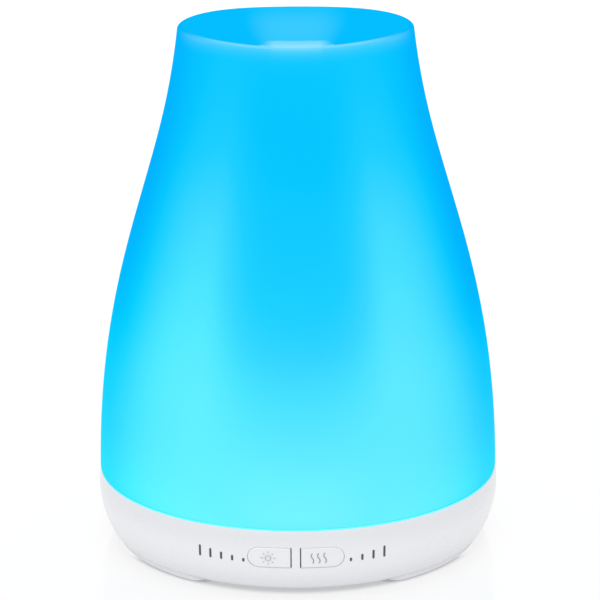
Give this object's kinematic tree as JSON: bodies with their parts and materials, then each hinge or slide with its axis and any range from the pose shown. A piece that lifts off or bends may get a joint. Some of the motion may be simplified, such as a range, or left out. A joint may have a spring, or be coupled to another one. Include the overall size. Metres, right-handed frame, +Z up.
{
  "type": "essential oil diffuser",
  "caption": "Vase-shaped ultrasonic oil diffuser: frosted glowing cover that lifts off a water tank, white base with light and mist buttons.",
  "frame": {"origin": "centre of the footprint on the table", "axes": "+Z up, front with the buttons towards -Y, power opening towards +Y"},
  "size_m": [0.1008, 0.1009, 0.1288],
  "materials": {
    "cover_frost": "frosted translucent, lit from inside",
    "white_shell": "glossy white moulding",
    "white_inner": "satin white moulding",
    "clear_tank": "translucent moulding",
    "rubber_grey": "soft pale grey rubber",
    "rubber_black": "black silicone",
    "steel": "zinc-plated",
    "black_plastic": "black moulding",
    "circuit_green": "solder mask",
    "circuit_white": "white solder mask",
    "light_yellow": "phosphor lens",
    "copper": "enamelled copper windings",
    "bronze": "sintered bronze",
    "aluminium": "plain",
    "capacitor_blue": "shrink sleeve",
    "ceramic_disc": "silvered piezo ceramic",
    "connector_ivory": "nylon",
    "lead_red": "wire insulation",
    "lead_black": "wire insulation",
    "lead_white": "wire insulation"
  },
  "bodies": {
    "base": {"base_shell": "white_shell", "rubber_feet": "rubber_grey", "bottom_plate": "white_inner", "case_screws": "steel", "button_board": "circuit_green", "light_switch_body": "black_plastic", "mist_switch_body": "black_plastic", "water_tank": "clear_tank", "tank_seal": "rubber_black", "ultrasonic_disc": "ceramic_disc", "disc_seal": "rubber_black", "disc_retainer": "white_inner", "retainer_screws": "steel", "led_board": "circuit_white", "leds": "light_yellow", "main_board": "circuit_green", "driver_coil": "black_plastic", "power_transistor": "black_plastic", "transistor_heatsink": "aluminium", "capacitors": "capacitor_blue", "control_chip": "black_plastic", "board_connectors": "connector_ivory", "board_screws": "steel", "fan_frame": "black_plastic", "fan_bearing": "bronze", "fan_stator": "copper", "fan_screws": "steel", "dc_jack_body": "black_plastic", "dc_jack_pin": "steel", "transducer_leads": "lead_red", "fan_leads": "lead_red", "power_leads": "lead_black", "led_leads": "lead_white", "button_leads": "lead_black"},
    "cover": {"outer_cover": "cover_frost", "mist_chimney": "clear_tank"},
    "light_button": {"light_button": "white_shell"},
    "mist_button": {"mist_button": "white_shell"},
    "light_plunger": {"light_switch_plunger": "black_plastic"},
    "mist_plunger": {"mist_switch_plunger": "black_plastic"},
    "fan": {"fan_rotor": "black_plastic", "fan_shaft": "steel"}
  },
  "joints": [
    {"name": "cover_lift", "type": "slide", "parent": "base", "child": "cover", "axis": [0, 0, 1], "range_m": [0, 0.08]},
    {"name": "light_button_press", "type": "slide", "parent": "base", "child": "light_button", "axis": [0, 1, 0], "range_m": [0, 0.0005]},
    {"name": "mist_button_press", "type": "slide", "parent": "base", "child": "mist_button", "axis": [0, 1, 0], "range_m": [0, 0.0005]},
    {"name": "light_plunger_press", "type": "slide", "parent": "base", "child": "light_plunger", "axis": [0, 1, 0], "range_m": [0, 0.0005]},
    {"name": "mist_plunger_press", "type": "slide", "parent": "base", "child": "mist_plunger", "axis": [0, 1, 0], "range_m": [0, 0.0005]},
    {"name": "fan_spin", "type": "hinge", "parent": "base", "child": "fan", "pos_m": [0, 0.014, 0.007], "axis": [0, 0, 1], "continuous": true}
  ],
  "couplings": [
    {"joint": "light_plunger_press", "follows": "light_button_press", "ratio": 1},
    {"joint": "mist_plunger_press", "follows": "mist_button_press", "ratio": 1}
  ]
}
